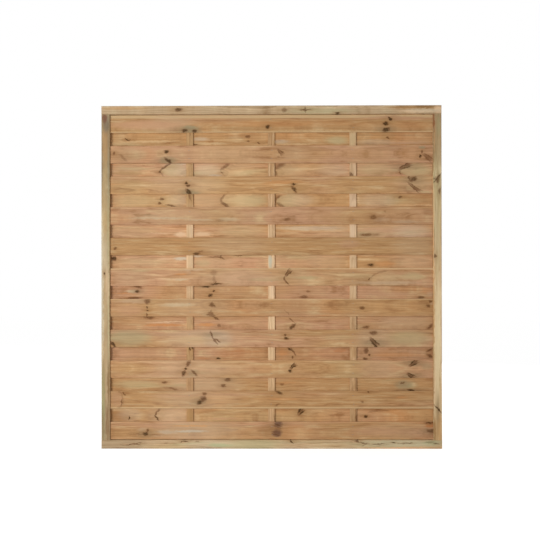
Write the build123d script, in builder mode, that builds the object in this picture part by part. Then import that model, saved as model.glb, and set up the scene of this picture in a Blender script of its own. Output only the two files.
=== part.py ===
from build123d import *
import os

# Slatted fence panel: a grooved frame holds two layers of level slats, with upright battens between the layers.
# Each rear slat covers the gap between two front slats. All sizes are in millimetres.
# +Z is up, the front faces -Y, and the origin is under the middle of the bottom rail, at mid depth.

# Overall size
panel_width = 1785.0
panel_height = 1800.0

# Slats and battens
front_slat_count = 11
slat_width = 92.0
slat_thickness = 8.0
slat_edge_radius = 2.0
slat_margin = 3.0  # from a rail to the edge of the first and last front slat
batten_count = 3
batten_width = 36.0
batten_thickness = 10.0
batten_edge_radius = 1.0

# Frame members, with a groove along their inner faces for the ends of the slats and battens
rail_height = 45.0
stile_width = 45.0
lip_thickness = 9.25  # wood on each side of the groove
groove_depth = 12.0
frame_edge_radius = 3.0
rail_end_chamfer = 1.0

# Blind mortise and tenon at each corner
tenon_thickness = 15.0
tenon_outer_shoulder = 8.0
tenon_inner_shoulder = 5.0
tenon_tip_chamfer = 2.0
mortise_cover = 14.0  # wood that a rail keeps over the end of a tenon

# One countersunk screw down through each corner
screw_shank_radius = 2.5
screw_head_radius = 5.0
screw_head_angle = 90.0
screw_head_sink = 0.3  # depth of the head below the rail's face
screw_bite = 40.0  # length in the stile beyond the tenon's shoulder
screw_tip_length = 6.0
screw_tip_radius = 0.4
recess_length = 5.0
recess_width = 1.2
recess_depth = 2.0

# Clearances
fit_clearance = 0.25  # beside a slat or tenon, on each side
end_clearance = 1.0  # at the end of a slat, batten or tenon
screw_clearance = 0.1  # round a screw

# Sizes that follow from the ones above
layer_offset = (batten_thickness + slat_thickness) / 2
groove_width = batten_thickness + 2 * slat_thickness + 2 * fit_clearance
frame_depth = groove_width + 2 * lip_thickness
opening_width = panel_width - 2 * stile_width
opening_height = panel_height - 2 * rail_height
insertion = groove_depth - end_clearance
slat_length = opening_width + 2 * insertion
batten_length = opening_height + 2 * insertion
batten_spacing = slat_length / (batten_count + 1)
slat_pitch = (opening_height - 2 * slat_margin - slat_width) / (front_slat_count - 1)
top_slat_z = panel_height - rail_height - slat_margin - slat_width / 2
tenon_width = stile_width - groove_depth - tenon_inner_shoulder - tenon_outer_shoulder
tenon_x = panel_width / 2 - tenon_outer_shoulder - tenon_width / 2
mortise_depth = rail_height - mortise_cover
tenon_length = mortise_depth - end_clearance
screw_length = rail_height - screw_head_sink + screw_bite
screw_hole_radius = screw_shank_radius + screw_clearance
countersink_radius = screw_head_radius + screw_head_sink + screw_clearance

os.makedirs("parts", exist_ok=True)


def save(piece, name):
    """Label a finished piece and write it under its own name."""
    piece.part.label = name
    export_step(piece.part, f"parts/{name}.step")


def make_slat(name, layer_y, centre_z):
    """One planed board with eased edges, its two ends in the grooves of the stiles."""
    with BuildPart() as slat:
        with BuildSketch(Plane.YZ.offset(-slat_length / 2)):
            with Locations((layer_y, centre_z)):
                RectangleRounded(slat_thickness, slat_width, slat_edge_radius)
        extrude(amount=slat_length)
    save(slat, name)


def make_upright(name, centre_x, width):
    """One upright strip between the two layers of slats, its two ends in the grooves of the rails."""
    with BuildPart() as upright:
        with BuildSketch(Plane.XY.offset((panel_height - batten_length) / 2)):
            with Locations((centre_x, 0)):
                RectangleRounded(width, batten_thickness, batten_edge_radius)
        extrude(amount=batten_length)
    save(upright, name)


def make_stile(name, side):
    """One upright of the frame: a groove down its inner face and a tenon on each end. side is -1 or 1."""
    with BuildPart() as stile:
        with BuildSketch(Plane.XY.offset(rail_height)):
            with Locations((side * (panel_width - stile_width) / 2, 0)):
                RectangleRounded(stile_width, frame_depth, frame_edge_radius)
            with Locations((side * (opening_width + groove_depth) / 2, 0)):
                Rectangle(groove_depth, groove_width, mode=Mode.SUBTRACT)
        extrude(amount=opening_height)

        # Both tenons are the ends of one bar through the solid part of the section
        with BuildSketch(Plane.XY.offset(rail_height - tenon_length)):
            with Locations((side * tenon_x, 0)):
                Rectangle(tenon_width, tenon_thickness)
        extrude(amount=opening_height + 2 * tenon_length)
        tenon_ends = stile.faces().sort_by(Axis.Z)[0], stile.faces().sort_by(Axis.Z)[-1]
        chamfer([edge for face in tenon_ends for edge in face.edges()], length=tenon_tip_chamfer)

        # Pilot holes for the corner screws
        for end_z, outward in ((rail_height - tenon_length, -1), (panel_height - rail_height + tenon_length, 1)):
            with Locations(Plane((side * tenon_x, 0, end_z), z_dir=(0, 0, outward))):
                Hole(screw_hole_radius, depth=tenon_length + screw_bite + end_clearance)
    save(stile, name)


def make_rail(name, outer_z, inward):
    """One rail across the ends of both stiles. inward is the way from its outer face to the slats: -1 or 1."""
    inner_z = outer_z + inward * rail_height
    with BuildPart() as rail:
        with BuildSketch(Plane.YZ.offset(-panel_width / 2)):
            with Locations((0, (outer_z + inner_z) / 2)):
                RectangleRounded(frame_depth, rail_height, frame_edge_radius)
        extrude(amount=panel_width)
        rail_ends = rail.faces().filter_by(Axis.X)
        chamfer(rail_ends.edges(), length=rail_end_chamfer)

        # The groove stops where it meets the grooves of the stiles
        with BuildSketch(Plane.XY.offset(inner_z)):
            Rectangle(opening_width + 2 * groove_depth, groove_width)
        extrude(amount=-inward * groove_depth, mode=Mode.SUBTRACT)

        # A blind mortise over each stile
        with BuildSketch(Plane.XY.offset(inner_z)):
            with Locations((-tenon_x, 0), (tenon_x, 0)):
                Rectangle(tenon_width + 2 * fit_clearance, tenon_thickness + 2 * fit_clearance)
        extrude(amount=-inward * mortise_depth, mode=Mode.SUBTRACT)

        # Countersunk holes for the corner screws
        for side in (-1, 1):
            with Locations(Plane((side * tenon_x, 0, outer_z), z_dir=(0, 0, -inward))):
                CounterSinkHole(screw_hole_radius, countersink_radius, rail_height, screw_head_angle)
    save(rail, name)


make_rail("top_rail", panel_height, -1)
make_rail("bottom_rail", 0, 1)
make_stile("left_stile", -1)
make_stile("right_stile", 1)

# Slats are counted from the top, and each rear slat lies half a pitch below a front slat
for number in range(front_slat_count):
    front_z = top_slat_z - number * slat_pitch
    make_slat(f"front_slat_{number + 1:02d}", -layer_offset, front_z)
    if number < front_slat_count - 1:
        make_slat(f"rear_slat_{number + 1:02d}", layer_offset, front_z - slat_pitch / 2)

# Battens divide the slats evenly, and a narrow spacer in each stile's groove keeps the slat ends apart
for number in range(batten_count):
    make_upright(f"batten_{number + 1}", (number + 1) * batten_spacing - slat_length / 2, batten_width)
for name, side in (("left_spacer", -1), ("right_spacer", 1)):
    make_upright(name, side * (opening_width + insertion) / 2, insertion)

# A countersunk wood screw, head upwards, with a cross recess
head_height = screw_head_radius - screw_shank_radius
with BuildPart() as screw:
    with BuildSketch(Plane.XZ):
        with BuildLine():
            Polyline(
                (0, 0),
                (screw_head_radius, 0),
                (screw_shank_radius, -head_height),
                (screw_shank_radius, screw_tip_length - screw_length),
                (screw_tip_radius, -screw_length),
                (0, -screw_length),
                close=True,
            )
        make_face()
    revolve(axis=Axis.Z)
    with BuildSketch(Plane.XY):
        Rectangle(recess_length, recess_width)
        Rectangle(recess_width, recess_length)
    extrude(amount=-recess_depth, mode=Mode.SUBTRACT)

with BuildPart() as corner_screws:
    for side in (-1, 1):
        with Locations(
            Location((side * tenon_x, 0, panel_height - screw_head_sink)),
            Location((side * tenon_x, 0, screw_head_sink), (180, 0, 0)),
        ):
            add(screw.part)
save(corner_screws, "corner_screws")
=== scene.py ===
"""Looks of the slatted fence panel: camera, light, floor, the wood of every board, screws and staples.

Metres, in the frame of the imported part: +Z is up and the front faces -Y.
"""
import math

import bmesh
import bpy
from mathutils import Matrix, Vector


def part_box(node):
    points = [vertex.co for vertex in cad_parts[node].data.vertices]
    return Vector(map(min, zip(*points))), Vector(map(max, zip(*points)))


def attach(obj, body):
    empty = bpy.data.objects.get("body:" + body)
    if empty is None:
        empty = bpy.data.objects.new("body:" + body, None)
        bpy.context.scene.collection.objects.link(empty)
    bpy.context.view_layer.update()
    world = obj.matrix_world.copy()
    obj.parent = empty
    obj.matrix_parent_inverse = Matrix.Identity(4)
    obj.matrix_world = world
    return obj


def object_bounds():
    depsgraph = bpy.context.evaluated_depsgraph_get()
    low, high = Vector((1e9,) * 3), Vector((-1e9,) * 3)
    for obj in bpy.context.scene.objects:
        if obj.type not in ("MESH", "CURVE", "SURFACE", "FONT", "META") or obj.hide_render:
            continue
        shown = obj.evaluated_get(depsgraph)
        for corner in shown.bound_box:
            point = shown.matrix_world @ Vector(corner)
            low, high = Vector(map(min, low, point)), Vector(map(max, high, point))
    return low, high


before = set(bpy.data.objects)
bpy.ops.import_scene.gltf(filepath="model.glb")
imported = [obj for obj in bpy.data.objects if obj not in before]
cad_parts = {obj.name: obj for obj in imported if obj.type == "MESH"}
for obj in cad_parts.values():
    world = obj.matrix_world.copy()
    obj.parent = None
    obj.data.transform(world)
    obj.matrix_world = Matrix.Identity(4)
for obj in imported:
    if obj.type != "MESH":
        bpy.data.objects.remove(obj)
cad_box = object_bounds()
panel_low, panel_high = Vector(cad_box[0]), Vector(cad_box[1])
MM = 0.001

SLATS = sorted(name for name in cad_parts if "slat_" in name)
BATTENS = sorted(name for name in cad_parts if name.startswith("batten_"))


def srgb(red, green, blue):
    """A shader colour from the 0 to 255 values that a screen shows."""
    parts = [value / 255 for value in (red, green, blue)]
    linear = [p / 12.92 if p <= 0.04045 else ((p + 0.055) / 1.055) ** 2.4 for p in parts]
    return (*linear, 1.0)


# Camera: square on to the panel, a little to the right of its middle
CAMERA_PLACE = (0.0403, -5.02, 0.9116)
CAMERA_TURN = (90.288, 0.067, 0.543)
CAMERA_LENS = 63.55

camera = bpy.data.objects.new("camera", bpy.data.cameras.new("camera"))
camera.location = CAMERA_PLACE
camera.rotation_euler = [math.radians(angle) for angle in CAMERA_TURN]
camera.data.lens = CAMERA_LENS
bpy.context.scene.collection.objects.link(camera)
bpy.context.scene.camera = camera
bpy.context.scene.view_settings.view_transform = "Standard"


class Value:
    """A socket of a shader. Arithmetic with values adds nodes to its tree."""

    def __init__(self, tree, socket):
        self.tree = tree
        self.socket = socket

    def __add__(self, other):
        return self.tree.math("ADD", self, other)

    def __sub__(self, other):
        return self.tree.math("SUBTRACT", self, other)

    def __mul__(self, other):
        return self.tree.math("MULTIPLY", self, other)

    def __truediv__(self, other):
        return self.tree.math("DIVIDE", self, other)

    __radd__ = __add__
    __rmul__ = __mul__


class Tree:
    """Short calls that add shader nodes to a tree. Inputs may be values, plain numbers or colours."""

    def __init__(self, tree):
        self.tree = tree

    def feed(self, socket, value):
        if isinstance(value, Value):
            self.tree.links.new(value.socket, socket)
        else:
            socket.default_value = value

    def node(self, kind, inputs=None, **settings):
        made = self.tree.nodes.new(kind)
        for name, value in settings.items():
            setattr(made, name, value)
        for key, value in (inputs or {}).items():
            self.feed(made.inputs[key], value)
        return made

    def out(self, kind, inputs=None, key=0, **settings):
        """One output of a new node."""
        return Value(self, self.node(kind, inputs, **settings).outputs[key])

    def math(self, operation, a, b=0.0):
        return self.out("ShaderNodeMath", {0: a, 1: b}, operation=operation)

    def hypot(self, a, b):
        return self.math("SQRT", a * a + b * b)

    def largest(self, a, b):
        return self.math("MAXIMUM", a, b)

    def smooth(self, value, low, high, to_low=0.0, to_high=1.0):
        """An eased step of value from low to high."""
        inputs = {0: value, 1: low, 2: high, 3: to_low, 4: to_high}
        return self.out("ShaderNodeMapRange", inputs, interpolation_type="SMOOTHSTEP")

    def bell(self, value):
        """exp(-value squared)."""
        return self.math("EXPONENT", value * value * -1.0)

    def noise(self, x, y, z, detail=2.0, roughness=0.55):
        """Noise about zero, from about -0.5 to 0.5, with cells one unit wide."""
        place = self.out("ShaderNodeCombineXYZ", {0: x, 1: y, 2: z})
        inputs = {"Vector": place, "Scale": 1.0, "Detail": detail, "Roughness": roughness}
        return self.out("ShaderNodeTexNoise", inputs, "Fac", noise_dimensions="3D") - 0.5

    def mix(self, factor, a, b, blend="MIX"):
        inputs = {0: factor, 6: a, 7: b}
        return self.out("ShaderNodeMix", inputs, 2, data_type="RGBA", blend_type=blend, clamp_factor=True)

    def ramp(self, value, stops):
        """A number that follows the stops, (place, number) pairs from 0 to 1, as value grows."""
        made = self.node("ShaderNodeValToRGB", {0: value})
        ramp = made.color_ramp
        ramp.interpolation = "EASE"
        while len(ramp.elements) < len(stops):
            ramp.elements.new(0.5)
        for element, (place, number) in zip(ramp.elements, stops):
            element.position = place
            element.color = (number, number, number, 1.0)
        return Value(self, made.outputs[0])

    def place(self):
        """The x, y and z of a point on the piece."""
        point = self.out("ShaderNodeTexCoord", key="Object")
        return [Value(self, axis) for axis in self.node("ShaderNodeSeparateXYZ", {0: point}).outputs]

    def group(self, tree, inputs):
        """The outputs of a node group, by name."""
        made = self.node("ShaderNodeGroup", inputs, node_tree=tree)
        return {socket.name: Value(self, socket) for socket in made.outputs}


def new_group(name, inputs, outputs):
    """An empty node group of number sockets, with its tree and its inputs by name."""
    group = bpy.data.node_groups.new(name, "ShaderNodeTree")
    for way, names in (("INPUT", inputs), ("OUTPUT", outputs)):
        for socket in names:
            group.interface.new_socket(socket, in_out=way, socket_type="NodeSocketFloat")
    tree = Tree(group)
    given = tree.node("NodeGroupInput").outputs
    return group, tree, {socket: Value(tree, given[socket]) for socket in inputs}


# Knots, in shares of their half sizes. A reach has a share and a length along the grain, then across it.
KNOT_EDGE = (1.5, 0.5)
SMALL_KNOT = (11 * MM, 6 * MM)
BARK_PLACE = 0.85
BARK_SHARPNESS = 4.6
STRIPE_PACE = 7.0
STRIPE_STEP = (0.2, 0.9, 0.0, 0.35)
HALO_REACH = (2.0, 12 * MM, 1.5, 2 * MM)
BEND_REACH = (2.2, 12 * MM, 1.7, 5 * MM)
BEND_SHARE = 0.8
# Tongues and patches
TONGUE_EDGE = (-1 * MM, 5 * MM)
TONGUE_FADE = (1.0, 0.35)
LINE_WIDTH = 5 * MM
LINE_FADE = (75 * MM, 25 * MM)
NEST_DEPTH = 60 * MM
NEST_SHIFT = 4 * MM
PATCH_EDGE = (1.3, 0.4)
# Growth rings. Their unevenness has cells per metre along and round the trunk, and a size.
SEED_SHIFT = 13.7
RING_SHIFT = 31.0
RING_NOISE = [(1.1, 5.0, 24 * MM), (8.0, 26.0, 5 * MM)]
LATE_RISE = (0.35, 0.88)
LATE_FALL = (1.0, 0.93)
FLOW_TILT = 0.35
# Noise along the grain: cells per metre along and across it, its layer, its detail and its roughness
GRAIN_NOISE = {
    "Streak": (6.5, 95.0, 0.0, 4.0, 0.65),
    "Blotch": (15.0, 60.0, 120.0, 3.0, 0.6),
    "Fibre": (9.0, 420.0, 0.0, 2.0, 0.6),
    "Drift": (1.5, 14.0, 40.0, 2.0, 0.55),
    "Tint": (2.3, 22.0, 80.0, 2.0, 0.55),
}


def make_knot_group():
    """One knot: an oval in the face of a board.

    Core and Rim mark the knot and its bark line, Halo the stained wood along the grain on both sides of it,
    Grey the same where the stain is grey, and Bend how far the grain parts to go round it.
    """
    marks = ["Core", "Rim", "Halo", "Grey", "Bend"]
    sizes = ["X", "Y", "Half length", "Half width", "Turn", "Strength", "Greyness"]
    group, tree, given = new_group("knot", ["Along", "Across"] + marks + sizes, marks)
    length, width, strength = given["Half length"], given["Half width"], given["Strength"]
    dx = given["Along"] - given["X"]
    dy = given["Across"] - given["Y"]
    cosine = tree.math("COSINE", given["Turn"])
    sine = tree.math("SINE", given["Turn"])
    u = (dx * cosine + dy * sine) / length
    v = (dy * cosine - dx * sine) / width
    reach = tree.hypot(u, v)
    core = tree.smooth(reach, *KNOT_EDGE) * strength
    small = tree.smooth(width, *SMALL_KNOT)
    bark = tree.bell((reach - BARK_PLACE) * BARK_SHARPNESS)
    stripe = tree.smooth(tree.math("SINE", v * STRIPE_PACE), *STRIPE_STEP)
    rim = tree.largest(tree.largest(bark, stripe), small) * strength

    def about(length_share, more_length, width_share, more_width):
        """A soft mark that reaches past the knot."""
        along = dx / (length * length_share + more_length)
        across = dy / (width * width_share + more_width)
        return tree.bell(tree.hypot(along, across))

    halo = about(*HALO_REACH) * strength
    parted = about(*BEND_REACH) * dy
    tree.node("NodeGroupOutput", {
        "Core": tree.largest(given["Core"], core),
        "Rim": tree.largest(given["Rim"], rim),
        "Halo": tree.largest(given["Halo"], halo),
        "Grey": tree.largest(given["Grey"], halo * given["Greyness"]),
        "Bend": given["Bend"] - parted * (strength * BEND_SHARE),
    })
    return group


def make_tongue_group():
    """One tongue: rings that close in a rounded point, with paler wood inside and a dark line at the edge."""
    marks = ["Inside", "Edge", "Nest"]
    sizes = ["X", "Y", "Way", "Bow", "Reach", "Strength", "Line"]
    group, tree, given = new_group("tongue", ["Along", "Across"] + marks + sizes, marks)
    run = (given["Along"] - given["X"]) * given["Way"]
    dy = given["Across"] - given["Y"]
    depth = run - dy * dy / given["Bow"]
    fade = tree.smooth(run / given["Reach"], *TONGUE_FADE)
    inside = tree.smooth(depth, *TONGUE_EDGE) * fade * given["Strength"]
    edge = tree.bell(depth * (1 / LINE_WIDTH)) * tree.smooth(run, *LINE_FADE) * given["Line"]
    nest = tree.smooth(depth, 0.0, NEST_DEPTH) * fade * NEST_SHIFT
    tree.node("NodeGroupOutput", {
        "Inside": tree.largest(given["Inside"], inside),
        "Edge": tree.largest(given["Edge"], edge),
        "Nest": given["Nest"] + nest,
    })
    return group


def make_patch_group():
    """One patch of colour: a long soft oval that lies along the grain."""
    inputs = ["Along", "Across", "Patch", "X", "Y", "Half length", "Half width", "Strength"]
    group, tree, given = new_group("patch", inputs, ["Patch"])
    u = (given["Along"] - given["X"]) / given["Half length"]
    v = (given["Across"] - given["Y"]) / given["Half width"]
    patch = tree.smooth(tree.hypot(u, v), *PATCH_EDGE) * given["Strength"]
    tree.node("NodeGroupOutput", {"Patch": tree.largest(given["Patch"], patch)})
    return group


def make_grain_group():
    """Growth rings about a pith outside the board, with fibres and slow drifts of colour along them."""
    inputs = ["Along", "Across", "Depth", "Seed", "Pith across", "Pith depth", "Ring width", "Nest"]
    group, tree, given = new_group("grain", inputs, ["Late", "Band", *GRAIN_NOISE])
    along = given["Along"] + given["Seed"] * SEED_SHIFT
    side = given["Across"] - given["Pith across"]
    deep = given["Depth"] - given["Pith depth"]
    wander, wobble = [
        tree.noise(along * lengthwise, side * around, deep * around) * size
        for lengthwise, around, size in RING_NOISE
    ]
    radius = tree.hypot(side, deep) + (wander + wobble) + given["Nest"]

    phase = radius / given["Ring width"]
    turn = tree.math("FRACT", phase)
    late = tree.smooth(turn, *LATE_RISE) * tree.smooth(turn, *LATE_FALL)
    ring = tree.math("FLOOR", phase) + given["Seed"] * RING_SHIFT
    band = tree.out("ShaderNodeTexWhiteNoise", {"W": ring}, "Value", noise_dimensions="1D")

    flow = radius + given["Across"] * FLOW_TILT
    results = {"Late": late, "Band": band - 0.5}
    for name, (lengthwise, crosswise, *layer) in GRAIN_NOISE.items():
        results[name] = tree.noise(along * lengthwise, flow * crosswise, *layer)
    tree.node("NodeGroupOutput", results)
    return group


KNOT = make_knot_group()
TONGUE = make_tongue_group()
PATCH = make_patch_group()
GRAIN = make_grain_group()


def timber(**colours):
    """The colours of one kind of timber, by name."""
    return {name: srgb(*colour) for name, colour in colours.items()}


SLAT_WOOD = timber(
    pink=(199, 153, 117), honey=(192, 149, 101), ginger=(202, 140, 86), sage=(190, 168, 124),
    straw=(216, 184, 138), umber=(150, 104, 64), slate=(160, 146, 112), cream=(224, 190, 152),
    ash=(206, 184, 148), blush=(204, 172, 138), rust=(186, 116, 66), mist=(206, 190, 164),
    apricot=(218, 164, 110), plum=(110, 82, 75),
)
FRAME_WOOD = timber(
    pink=(196, 168, 132), honey=(190, 163, 119), ginger=(192, 146, 96), sage=(182, 172, 130),
    straw=(214, 196, 156), umber=(140, 104, 64), slate=(150, 138, 118), cream=(232, 196, 156),
    ash=(206, 194, 166), moss=(164, 170, 124), plum=(150, 100, 90), apricot=(222, 172, 124),
    rust=(150, 92, 56),
)
BATTEN_WOOD = timber(
    pink=(186, 145, 104), honey=(182, 142, 92), ginger=(178, 128, 80), sage=(188, 168, 122),
    straw=(228, 195, 154), umber=(146, 104, 66), cream=(228, 196, 162), mist=(196, 190, 166),
)
# Colours of patches, in the order in which they are laid on
COLOURS = "blush pink honey sage moss straw ginger apricot rust umber slate plum cream ash mist".split()
BLUSH, PINK, HONEY, SAGE, MOSS, STRAW, GINGER, APRICOT, RUST, UMBER, SLATE, PLUM, CREAM, ASH, MIST = COLOURS
HALO = srgb(154, 112, 66)
GREY_HALO = srgb(142, 130, 102)
KNOT_HEART = srgb(146, 102, 60)
KNOT_RIM = srgb(70, 46, 16)
SOFT_RIM = srgb(98, 52, 18)
LINE = srgb(116, 82, 44)

# Kinds of knot: how dark each is, and how grey the stain about it
DARK = (1.0, 0.0)
DEEP = (0.86, 0.0)
BROWN = (0.74, 0.0)
SOFT = (0.54, 0.0)
FAINT = (0.34, 0.0)
GREY = (0.95, 1.0)

SPIKE_OVERRUN = 1.15
# Shares of a sliced knot's width: where its edges lie, how near its middle they start, their width, its heart
SLICE_SIDE = 0.45
SLICE_START = 0.4
SLICE_EDGE = 0.34
SLICE_HEART = 0.75
# Cracks of a star: place along and across, length and width in shares of its size, and turn in degrees
STAR_CRACKS = [
    (0.0, 0.0, 0.6, 0.5, -20), (0.12, -0.08, 0.9, 0.3, -30),
    (-0.1, 0.12, 0.7, 0.2, 65), (-0.15, 0.0, 0.8, 0.16, 12),
]


def spike(x0, y0, x1, y1, width, kind):
    """A knot that runs slantwise from one point of a face to another."""
    length = math.hypot(x1 - x0, y1 - y0) * SPIKE_OVERRUN
    turn = math.degrees(math.atan2(y1 - y0, x1 - x0))
    return ((x0 + x1) / 2, (y0 + y1) / 2, length, width, kind, turn)


def sliced(x0, y0, x1, y1, width, kind):
    """A slanting knot that the saw has cut lengthwise: two dark edges that spread, and a paler heart."""
    length = math.hypot(x1 - x0, y1 - y0)
    side_x = (y0 - y1) / length * width * SLICE_SIDE
    side_y = (x1 - x0) / length * width * SLICE_SIDE
    strength, greyness = kind
    spikes = []
    for way in (-1, 1):
        start = (x0 + way * side_x * SLICE_START, y0 + way * side_y * SLICE_START)
        spikes.append(spike(*start, x1 + way * side_x, y1 + way * side_y, width * SLICE_EDGE, kind))
    heart = (strength * SLICE_HEART, greyness)
    return spikes + [spike(x0, y0, x1, y1, width * SLICE_HEART, heart)]


def star(x, y, size, kind):
    """A knot with short cracks that spread from it."""
    return [
        (x + size * along, y + size * across, size * length, size * width, kind, turn)
        for along, across, length, width, turn in STAR_CRACKS
    ]


# Knots of each board. Each has its place along the board from the left or lower end of the
# panel and across it from the board's middle, its length and width, in millimetres, its kind and, where it is
# turned, its turn in degrees.
KNOTS = {}
KNOTS["front_slat_01"] = [
    (437, -35, 30, 18, GREY), (489, -38, 24, 14, GREY), (874, -17, 24, 18, DARK, 30),
    (1517, 25, 30, 14, DARK, -40), (1493, 0, 26, 20, DARK), (1496, -33, 38, 22, GREY, 25),
]
KNOTS["rear_slat_01"] = [
    spike(123, 6, 137, -5, 6, DARK), spike(136, -5, 150, 3, 6, BROWN), (490, -26, 36, 8, BROWN),
    (769, 16, 24, 14, BROWN), (769, -9, 14, 9, BROWN), (825, -18, 20, 6, BROWN, -20),
    (1507, 8, 16, 10, BROWN, -40),
]
KNOTS["front_slat_02"] = [
    (65, 7, 10, 14, BROWN), spike(93, 2, 130, -32, 14, FAINT), (341, 15, 22, 15, DARK),
    spike(335, -20, 368, -46, 18, GREY), *sliced(928, 25, 952, 0, 18, BROWN), (930, -15, 16, 10, FAINT),
    (1675, -9, 14, 16, DARK), (1683, 13, 12, 16, BROWN), *sliced(1694, -2, 1732, -32, 22, (0.64, 0.0)),
]
KNOTS["rear_slat_02"] = [
    spike(306, -1, 358, 36, 10, BROWN), (304, -9, 12, 12, DARK), spike(306, -10, 330, -34, 6, FAINT),
    spike(632, 6, 668, 33, 18, SOFT), (631, -14, 8, 8, BROWN), spike(914, 8, 960, 34, 24, SOFT),
    spike(916, -6, 924, -28, 8, SOFT), *sliced(1570, 4, 1624, 30, 24, (0.8, 1.0)),
    spike(1568, -6, 1576, -26, 8, SOFT),
]
KNOTS["front_slat_03"] = [
    (445, 12, 15, 14, DARK), (457, -2, 22, 14, DEEP), spike(446, -22, 468, -48, 22, GREY),
    (1010, 4, 18, 12, DARK), spike(1002, -10, 1024, -38, 18, DEEP), (1638, 29, 38, 24, (0.82, 1.0), 25),
    spike(1612, 48, 1618, 24, 10, BROWN), *sliced(1616, 6, 1670, -34, 18, BROWN),
]
KNOTS["rear_slat_03"] = [
    (316, 8, 20, 13, BROWN), (303, -12, 16, 13, BROWN), spike(340, -20, 385, -30, 8, BROWN),
    spike(646, 31, 627, 5, 10, SOFT), spike(627, 7, 632, -12, 11, SOFT), spike(630, -8, 666, -33, 14, BROWN),
    spike(914, 8, 940, 24, 10, SOFT), spike(912, 24, 914, -20, 8, SOFT), spike(920, -12, 958, -32, 16, SOFT),
    (1572, 17, 26, 11, BROWN, 10),
]
KNOTS["front_slat_04"] = [
    (974, -20, 32, 16, BROWN), (1428, -10, 34, 22, BROWN), (1488, 21, 14, 12, FAINT),
    (620, -24, 40, 12, FAINT),
]
KNOTS["rear_slat_04"] = [(1392, -20, 60, 16, BROWN), (1440, -18, 44, 12, FAINT)]
KNOTS["front_slat_05"] = [
    (71, -9, 14, 14, BROWN), (499, -38, 36, 12, DEEP), spike(505, -30, 530, -22, 8, FAINT),
]
KNOTS["rear_slat_05"] = [
    (62, 18, 24, 22, DARK), *star(627, 23, 30, BROWN), (590, 25, 60, 9, SOFT), (718, 32, 56, 6, SOFT),
    (1416, -17, 32, 14, DARK),
]
KNOTS["front_slat_06"] = [
    (590, 24, 36, 26, FAINT), spike(590, 10, 592, -30, 14, FAINT), spike(575, -38, 628, -36, 10, DARK),
    spike(596, -36, 606, -22, 7, BROWN), *sliced(968, 8, 992, 36, 20, DEEP),
    spike(962, 4, 960, -18, 10, BROWN), spike(962, -16, 984, -40, 8, BROWN), (1406, -10, 8, 14, BROWN),
    spike(1410, -6, 1450, 22, 8, FAINT), spike(1448, 20, 1500, 34, 8, FAINT),
]
KNOTS["rear_slat_06"] = [
    (183, 5, 22, 14, GREY), spike(165, 37, 206, 25, 14, BROWN), spike(142, -31, 200, -28, 12, BROWN),
    (548, 31, 38, 12, GREY), (589, 7, 12, 12, DARK), (570, -16, 26, 16, DARK, 20), (1087, 5, 16, 10, SOFT),
    (1062, -25, 46, 14, (0.64, 0.0)), (1680, -28, 36, 14, BROWN),
]
KNOTS["front_slat_07"] = [
    (240, 33, 30, 26, BROWN), (240, 1, 10, 8, DARK), (241, -14, 12, 8, DARK),
    spike(238, -30, 236, -44, 8, BROWN), *star(581, 16, 36, BROWN), *star(575, -33, 46, (0.64, 0.0)),
    spike(964, -14, 990, -42, 5, FAINT), (1369, -2, 26, 20, BROWN), (1725, 33, 14, 14, BROWN),
    (1715, 9, 20, 14, BROWN),
]
KNOTS["rear_slat_07"] = [
    (246, 28, 56, 14, BROWN), spike(583, 33, 614, 18, 9, BROWN), (616, -14, 16, 18, SOFT),
    spike(985, 26, 1014, 2, 5, BROWN), spike(1018, -6, 990, -34, 18, DEEP), (1388, -23, 40, 14, BROWN),
    spike(1712, -32, 1740, -10, 16, BROWN),
]
KNOTS["front_slat_08"] = [
    spike(571, 36, 584, 4, 12, (0.75, 1.0)), spike(582, 6, 608, -28, 9, BROWN),
    spike(594, 0, 622, -20, 7, BROWN), spike(52, -20, 70, -44, 14, DARK), (965, 18, 13, 11, DEEP),
    (970, 0, 24, 16, DARK), (1427, 29, 40, 22, BROWN), *sliced(1414, -2, 1448, -40, 26, GREY),
    (1438, -39, 36, 13, DARK, -38),
]
KNOTS["rear_slat_08"] = [
    (611, -27, 26, 8, DARK), spike(976, 30, 1000, 16, 8, DARK), spike(995, 28, 1018, -8, 8, BROWN),
    (1004, -20, 12, 14, BROWN), (1391, 16, 24, 30, BROWN), (1409, -9, 10, 10, DARK),
    (1384, -28, 24, 12, DEEP), spike(1708, 10, 1740, 26, 14, BROWN), spike(1712, -6, 1740, -20, 16, BROWN),
]
KNOTS["front_slat_09"] = [
    spike(462, 41, 446, 15, 20, BROWN), (442, 1, 10, 10, DARK), spike(438, -8, 426, -34, 18, DEEP),
    spike(474, -6, 500, -32, 14, BROWN), *sliced(992, 4, 1018, 26, 20, DARK), (990, -11, 17, 17, DARK),
    *sliced(1620, 18, 1654, 42, 24, GREY), *sliced(1606, -25, 1640, -45, 22, (1.0, 1.0)),
]
KNOTS["rear_slat_09"] = [
    (328, 8, 30, 12, BROWN), spike(350, -18, 395, -30, 10, SOFT), (662, 23, 32, 18, (0.7, 1.0), 20),
    (638, -8, 26, 18, BROWN), (948, -2, 18, 14, SOFT), spike(1610, -30, 1650, -38, 9, GREY),
    spike(1572, 0, 1590, 12, 8, (0.65, 1.0)),
]
KNOTS["front_slat_10"] = [
    spike(112, 40, 122, 24, 8, BROWN), spike(106, 10, 104, -30, 5, BROWN), (542, 32, 22, 16, BROWN),
    spike(504, -20, 524, -6, 24, GREY), spike(520, -8, 546, 12, 22, BROWN),
    spike(918, 44, 948, 30, 14, DEEP), spike(910, -32, 934, -20, 10, SOFT), (1368, -11, 12, 10, SOFT),
    (1399, 42, 10, 8, DEEP),
]
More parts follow.
